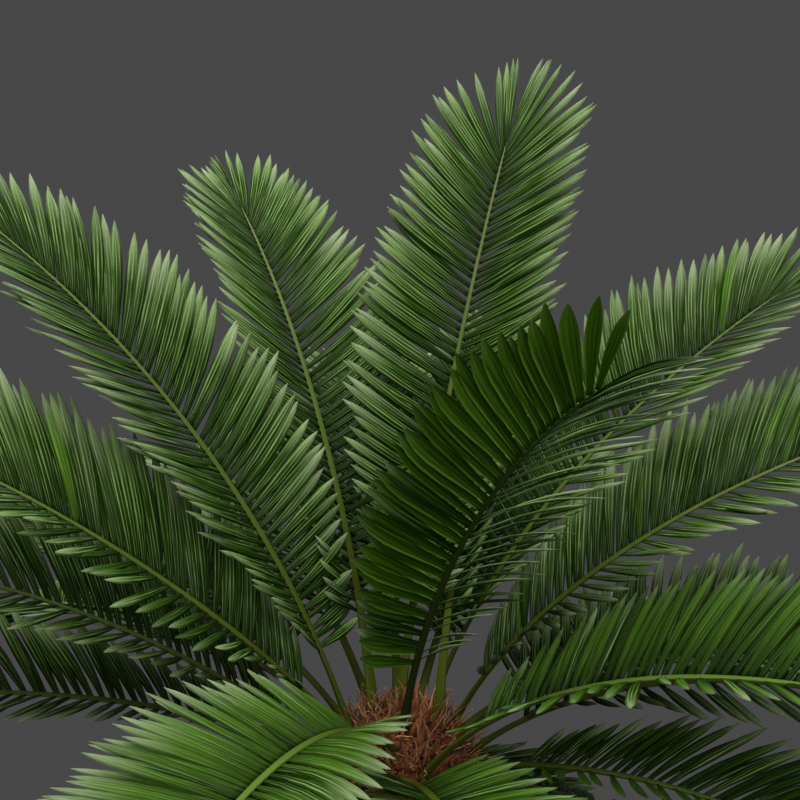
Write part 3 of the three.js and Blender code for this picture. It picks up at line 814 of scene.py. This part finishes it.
class PALM_OT_leaflets(bpy.types.Operator):
    """Make the leaflets of every frond, joined into a few pieces"""

    bl_idname = "palm.leaflets"
    bl_label = "Make leaflets"

    def execute(self, context):
        c = palette()
        deep, mid, fresh, pale, grey, rim = (
            c["leaf_" + key] for key in ("deep", "mid", "fresh", "pale", "grey", "rim")
        )
        # The first dark green is the painted shade at the necks, grooves and margins of the fresh leaflets; the
        # second is the painted shade at the margins of the grey and lush ones.
        fresh_shade, margin_shade = blended(deep, fresh, 0.2), blended(deep, mid, 0.2)
        # Each green carries painted light and shade, see leaf_finish. leaf_fresh is the leaf green made lighter
        # for the fronds in the light (painted light), leaf_grey has painted sheen on its tips, and leaf_shaded
        # is painted shade with painted light through its margin.
        greens = [
            leaf_finish("leaf_deep", deep, blended(deep, mid, 0.6), blended(mid, pale, 0.35), deep, 0.6),
            leaf_finish("leaf_green", deep, mid, pale, blended(deep, mid, 0.1)),
            leaf_finish("leaf_fresh", fresh_shade, fresh, blended(fresh, grey, 0.6), fresh_shade, 0.6),
            leaf_finish("leaf_grey", deep, blended(mid, grey, 0.06), blended(pale, grey, 0.6), margin_shade, 0.7),
            leaf_finish("leaf_shaded", blended(deep, mid, 0.3), blended(deep, mid, 0.75),
                        blended(mid, rim, 0.6), rim, 0.8, 0.0),
            leaf_finish("leaf_lush", deep, blended(mid, fresh, 0.5), blended(fresh, pale, 0.22), margin_shade,
                        0.6, 0.6),
        ]
        rng = np.random.default_rng(71)
        for piece_name, names in LEAFLET_PIECES.items():
            parts = [leaflet_rings(name, side, rng) for name in names for side in (1, -1)]
            rings, coords, tones = (np.concatenate([p[i] for p in parts]) for i in range(3))
            put(closed_tubes(piece_name, rings, coords, (0, 3), tones, greens), "frond", *names)
        return {"FINISHED"}


class PALM_OT_ribs(bpy.types.Operator):
    """Make the stalk and rib of every frond, one joined piece for each whorl"""

    bl_idname = "palm.ribs"
    bl_label = "Make ribs"

    def execute(self, context):
        c = palette()
        foot, middle, tip, fresh = (c["rib_" + key] for key in ("foot", "middle", "tip", "fresh"))
        # fresh_rib is lighter for the fronds in the light (painted light), shaded_rib a dimmed copy for the
        # frond in shade (painted shade).
        finishes = [
            rib_finish("frond_rib", foot, middle, tip),
            rib_finish("fresh_rib", foot, fresh, fresh),
            rib_finish("shaded_rib", *(dimmed(colour, 0.36) for colour in (foot, middle, tip))),
        ]
        kinds = {"fresh": 1, "lush": 1, "shade": 2}
        for whorl in WHORLS:
            parts = [rib_rings(name) for name in fronds_of(whorl)]
            tones = np.array([kinds.get(FRONDS[name][-1], 0) for name in fronds_of(whorl)])
            rings, coords = (np.stack([p[i] for p in parts]) for i in (0, 1))
            put(closed_tubes(whorl + "_ribs", rings, coords, (), tones, finishes), "frond")
        return {"FINISHED"}


# ---- crown

DOME_RADIUS, DOME_RIM, DOME_RISE = 0.069, 0.030, 0.058  # the dome, its upright rim and its rise above that
DOME_GAP, FELT_GAP = 0.00035, 0.0004  # how far above the trunk the dome and its felt begin
FELT_RADIUS, FELT_RIM = 0.0685, 0.15  # the felt's radius, and the rim's share of its rings
ON_DOME, RIM_DROP = 0.72, 0.046  # the share of scale leaves on the dome, how far down the rim the rest go
SCALE_WIDTH, SCALE_THICKNESS, SCALE_ROOT = 0.0082, 0.0013, 0.008  # the root is hidden in the felt
SCALE_PLACES = np.array([0, 0.12, 0.26, 0.42, 0.58, 0.72, 0.85, 0.95, 1.0])  # a scale leaf's rings along it
SCALE_SECTION = (0.4, -0.16, 0.02)  # see blades
FIBRE_LENGTH, FIBRE_WIDTH, FIBRE_ROOT = 0.019, 0.00078, 0.004
FIBRE_DROP = 0.03  # the most that a fibre hangs below the dome


def dome_height(r):
    """Height of the dome at a distance from the axis: a flattened quarter round over an upright rim."""
    c = np.clip((r / DOME_RADIUS) ** 1.25, 0, 1)
    return TRUNK_TOP + DOME_GAP + DOME_RIM + DOME_RISE * np.sqrt(1 - c * c)


def felt_rings():
    """Rings of the felt: an upright rim, then a quarter round, with low lumps that cross on two spirals."""
    t = np.linspace(0, 1, 26)[:, None]
    a = around(96)
    rise = math.pi / 2 * np.clip((t - FELT_RIM) / (1 - FELT_RIM), 0, 1)
    r = FELT_RADIUS * np.maximum(np.cos(rise), 0.02) ** 0.8
    height = TRUNK_TOP + FELT_GAP + DOME_RIM * np.clip(t / FELT_RIM, 0, 1) + DOME_RISE * np.sin(rise)
    lump = 0.0012 * np.sin(9 * a + 7 * t) * np.sin(5 * a - 11 * t)
    return turned(r + lump * np.sin(math.pi * t), a, height)


def scale_leaves(count, longest, rng):
    """Rings of the dry scale leaves: pointed blades in a spiral on the dome, leaning out, tips curling.

    Place: the golden angle round, the square root of its order out from the middle. Blade: width falls from a
    third of the way up to a sharp tip, and the axis bends outwards by the cube of the share along it.
    """
    i = np.arange(count)
    share = (i + 0.5) / count
    turn = i * math.pi * (3 - math.sqrt(5)) + rng.normal(0, 0.08, count)
    r = np.minimum(0.003 + 0.072 * np.sqrt(share / 0.78), FELT_RADIUS)
    below = dome_height(0.068) - RIM_DROP * step(share, ON_DOME, 1.0)
    level = np.where(share < ON_DOME, dome_height(r), below)
    lean = np.radians(mix(4, 62, share**1.2) + rng.normal(0, 7, count))
    size = longest * mix(0.86, 0.75, share) * (1 + rng.normal(0, 0.20, count))
    flat, side = outwards(turn)
    way = np.sin(lean)[:, None] * flat + np.cos(lean)[:, None] * UP
    way = unit(way + rng.normal(0, 0.13, count)[:, None] * side)
    face = unit(np.cross(side, way))
    u = SCALE_PLACES[None, :, None]
    curl = rng.normal(0.05, 0.28, count)[:, None] * flat + rng.normal(0, 0.32, count)[:, None] * side
    foot = r[:, None] * flat + level[:, None] * UP - SCALE_ROOT * way
    axis = foot[:, None] + (size[:, None, None] + SCALE_ROOT) * (u * way[:, None] + u**3 * curl[:, None])
    wide = SCALE_WIDTH * (1 + rng.normal(0, 0.16, count))
    width = wide[:, None] * (mix(0.8, 1, step(SCALE_PLACES, 0, 0.3)) * (1 - SCALE_PLACES**1.35 * 0.97))
    depth = SCALE_THICKNESS * (1 - 0.7 * SCALE_PLACES) * np.ones((count, 1))
    return blades(axis, side[:, None], face[:, None], width, depth, SCALE_PLACES, i, SCALE_SECTION)


def fibres(count, rng):
    """Rings of loose fibres: thin square strands that rise among the scale leaves, cross and curl.

    Axis: the share along it times the way, plus that share squared times a kink, plus the share times a wave.
    """
    share = rng.random(count)
    turn = rng.random(count) * 2 * math.pi
    r = 0.006 + 0.062 * np.sqrt(share)
    flat, side = outwards(turn)
    lean = np.radians(mix(10, 70, share) + rng.normal(0, 12, count))
    sway = rng.normal(0, 0.55, count)
    way = unit(np.sin(lean)[:, None] * flat + np.cos(lean)[:, None] * UP + sway[:, None] * side)
    size = FIBRE_LENGTH * mix(1, 1.05, share) * (1 + rng.normal(0, 0.2, count))
    u = np.linspace(0, 1, 11)[None, :, None]
    kink = rng.normal(0, 0.38, (count, 3))[:, None]
    swing = rng.normal(0, 0.06, (count, 3))[:, None]
    wave = swing * np.sin(2 * math.pi * (1.5 * u + rng.random((count, 1, 1))))
    foot = r[:, None] * flat + (dome_height(r) - FIBRE_ROOT)[:, None] * UP
    axis = foot[:, None] + size[:, None, None] * (u * way[:, None] + u * u * kink + u * wave)
    least = dome_height(np.hypot(axis[..., 0], axis[..., 1])) - FIBRE_DROP
    axis[..., 2] = np.maximum(axis[..., 2], least)
    tangent = unit(np.gradient(axis, axis=1))
    one = unit(np.cross(tangent, UP + 0.01))
    two = np.cross(tangent, one)
    thick = (FIBRE_WIDTH * (1 + rng.normal(0, 0.2, count)))[:, None, None] * mix(1, 0.45, u)
    corner = around(4)
    ring = np.cos(corner)[:, None] * one[:, :, None] + np.sin(corner)[:, None] * two[:, :, None]
    return axis[:, :, None] + thick[..., None] * ring


class PALM_OT_crown(bpy.types.Operator):
    """Make the crown: its felt-covered dome, the dry scale leaves and the loose fibres"""

    bl_idname = "palm.crown"
    bl_label = "Make crown"

    def execute(self, context):
        z, c = sizes(), palette()
        rng = np.random.default_rng(29)
        dark, warm, straw = c["husk_dark"], c["husk_warm"], c["husk_straw"]
        soft = blended(warm, straw, 0.35)
        felt = [felt_finish("felt", dark, warm)]
        husks = [
            husk_finish("husk_dark", dark, warm, soft),
            husk_finish("husk_warm", dark, soft, straw),
            husk_finish("husk_faded", dark, dimmed(straw, 0.35), straw),
        ]
        strands = [fibre_finish("fibre_warm", soft), fibre_finish("fibre_straw", straw)]
        put(closed_tubes("crown_felt", felt_rings()[None], materials=felt), "scales", "crown")
        rings, coords = scale_leaves(z.scale_count, z.scale_length, rng)
        tones = np.searchsorted((0.42, 0.75), rng.random(len(rings)))
        put(closed_tubes("crown_scales", rings, coords, (0, 3), tones, husks), "scales", "crown")
        rings = fibres(z.fibre_count, rng)
        tones = (rng.random(len(rings)) < 0.45).astype(int)
        put(closed_tubes("crown_fibres", rings, tones=tones, materials=strands), "scales", "crown")
        return {"FINISHED"}


# ---- trunk

FOOT_RADIUS, TOP_RADIUS = 0.063, 0.066
FLARE, FLARE_HEIGHT = 0.013, 0.07  # how far the root flare stands out, and how high it reaches
NET_LINES, NET_PITCH = 16, 0.026  # the net's lines each way round the trunk, and the height between them
CUT_LIFT, ROUGHNESS = 0.004, 0.00022  # how far a cut end points up, and the fine roughness


def bark_rings(relief, rng):
    """Rings of the trunk, and the pattern place of each point: its turn round the trunk, and a tone that paints
    shade.

    Radius: the taper and root flare, plus a net of slanting cushions, each with a cut end. The net's two
    families of lines climb left and right. A cushion's height is the product of its places between both,
    with a shallow hollow at the cut face and a fine seeded roughness.
    """
    h, a = np.linspace(0, TRUNK_TOP, 220)[:, None], around(360)[None]
    base = mix(FOOT_RADIUS, TOP_RADIUS, h / TRUNK_TOP) + FLARE * np.maximum(0, 1 - h / FLARE_HEIGHT) ** 2
    level, climb = a * NET_LINES / (2 * math.pi), h / (2 * NET_PITCH)
    p, q = level + climb, level - climb
    fp, fq = p - np.floor(p), q - np.floor(q)
    cell = (np.floor(p) % NET_LINES + 31 * np.floor(q)).astype(int)
    jitter = rng.normal(0, 1, 4096)[cell % 4096]
    cushion = np.sin(math.pi * fp) ** 0.55 * np.sin(math.pi * fq) ** 0.55
    end = np.exp(-(((fp - 0.56) ** 2 + (fq - 0.44) ** 2) / 0.03))
    rough = rng.normal(0, 1, p.shape)
    rough = (rough + np.roll(rough, 1, 0) + np.roll(rough, 1, 1) + np.roll(rough, -1, 0)) / 2
    inner = step(h, 0.0, 0.006) * step(TRUNK_TOP - h, 0.0, 0.004)
    lift = relief * (cushion * (1 + 0.18 * jitter) + 0.25 * cushion * (fp - fq) - 0.45 * end - 0.35)
    rings = turned(base + inner * (lift + ROUGHNESS * rough), a, h + inner * CUT_LIFT * cushion * end)
    # Painted shade: the tone is darker in the hollows between cushions and at the cut ends, with a chance shift
    # for each cushion.
    tone = np.clip(0.1 + 0.8 * cushion - 0.3 * end + 0.08 * jitter, 0, 1)
    return rings, np.stack(np.broadcast_arrays(a / (2 * math.pi), tone), -1)


class PALM_OT_trunk(bpy.types.Operator):
    """Make the trunk with the relief of its old leaf bases"""

    bl_idname = "palm.trunk"
    bl_label = "Make trunk"

    def execute(self, context):
        c = palette()
        rings, coords = bark_rings(sizes().bark_relief, np.random.default_rng(5))
        finish = bark_finish("bark", c["bark_dark"], c["bark_worn"], c["lichen"])
        piece = closed_tubes("trunk_bark", rings[None], coords[None], materials=[finish])
        put(piece, "bark", "trunk")
        return {"FINISHED"}


# ---- stage

# Radii and heights round the floor's edge.
FLOOR_EDGE = np.array([[0.795, -0.012], [0.80, -0.010], [0.80, -0.002], [0.795, 0.0]])
LAMPS = {  # place, target, width, power and tint
    "key_light": ((-0.6, -0.5, 2.9), (0, 0, 0.6), 1.8, 56, (1, 0.985, 0.94)),
    "top_light": ((0.6, 0.9, 2.5), (0, 0, 0.5), 2.2, 16, (1, 1, 0.97)),
    "fill_light": ((0.8, -2.6, 1.2), (0, 0, 0.55), 2.2, 28.5, (1, 1, 0.95)),
}
EYE_DISTANCE, EYE_RISE = 1.5, 20  # metres from the crown, degrees above it
SENSOR, LENS, FOCUS = 36.0, 67.5, 1500  # in millimetres, and the lens in points of an image 800 wide
CROWN_BELOW, CROWN_ASIDE = 342, -3  # how many points the crown is from the middle of that image


def set_up(name, data, place, look):
    """A lamp or camera at this place that faces this way."""
    holder = bpy.data.objects.new(name, data)
    holder.location = place
    holder.rotation_euler = look.to_track_quat("-Z", "Y").to_euler()
    bpy.context.scene.collection.objects.link(holder)
    return holder


class PALM_OT_stage(bpy.types.Operator):
    """Make the pale floor, the even grey behind, the soft lights and the camera"""

    bl_idname = "palm.stage"
    bl_label = "Make stage"

    def execute(self, context):
        c = palette()
        disc = turned(FLOOR_EDGE[:, :1], around(96), FLOOR_EDGE[:, 1:])
        finish = floor_finish("floor", c["floor"])
        closed_tubes("floor", disc[None], materials=[finish], atlas=False)

        context.scene.view_settings.view_transform = "Standard"
        world = bpy.data.worlds.new("studio")
        context.scene.world = world
        world.use_nodes = True
        world.node_tree.nodes["Background"].inputs[0].default_value = (*c["backdrop"], 1)
        for name, (place, target, width, power, tint) in LAMPS.items():
            lamp = bpy.data.lights.new(name, "AREA")
            lamp.shape, lamp.size, lamp.energy, lamp.color = "DISK", width, power, tint
            set_up(name, lamp, place, Vector(target) - Vector(place))

        eye = bpy.data.cameras.new("camera")
        eye.sensor_width, eye.lens = SENSOR, LENS
        rise = math.radians(EYE_RISE)
        place = Vector((0, 0, CROWN_LEVEL)) + EYE_DISTANCE * Vector((0, -math.cos(rise), math.sin(rise)))
        dip, yaw = rise - math.atan(CROWN_BELOW / FOCUS), math.atan(CROWN_ASIDE / FOCUS)
        look = Vector((math.sin(yaw) * math.cos(dip), math.cos(yaw) * math.cos(dip), -math.sin(dip)))
        context.scene.camera = set_up("camera", eye, place, look)
        return {"FINISHED"}


# ---- add-on

STEPS = (PALM_OT_stage, PALM_OT_trunk, PALM_OT_crown, PALM_OT_ribs, PALM_OT_leaflets)


class PALM_PT_panel(bpy.types.Panel):
    """Lists the palm's pieces and their settings"""

    bl_idname = "PALM_PT_panel"
    bl_label = "Sago Palm"
    bl_space_type = "VIEW_3D"
    bl_region_type = "UI"
    bl_category = "Sago Palm"

    def draw(self, context):
        for made in STEPS:
            self.layout.operator(made.bl_idname)
        for group in (context.scene.palm_sizes, context.scene.palm_colours):
            box = self.layout.box()
            for key in own_settings(group):
                box.prop(group, key)


CLASSES = (PalmSizes, PalmColours, *STEPS, PALM_PT_panel)


def register():
    for made in CLASSES:
        bpy.utils.register_class(made)
    bpy.types.Scene.palm_sizes = bpy.props.PointerProperty(type=PalmSizes)
    bpy.types.Scene.palm_colours = bpy.props.PointerProperty(type=PalmColours)


def unregister():
    del bpy.types.Scene.palm_sizes
    del bpy.types.Scene.palm_colours
    for made in reversed(CLASSES):
        bpy.utils.unregister_class(made)


def main():
    register()
    for made in STEPS:
        group, name = made.bl_idname.split(".")
        getattr(getattr(bpy.ops, group), name)()


if __name__ == "__main__":
    main()
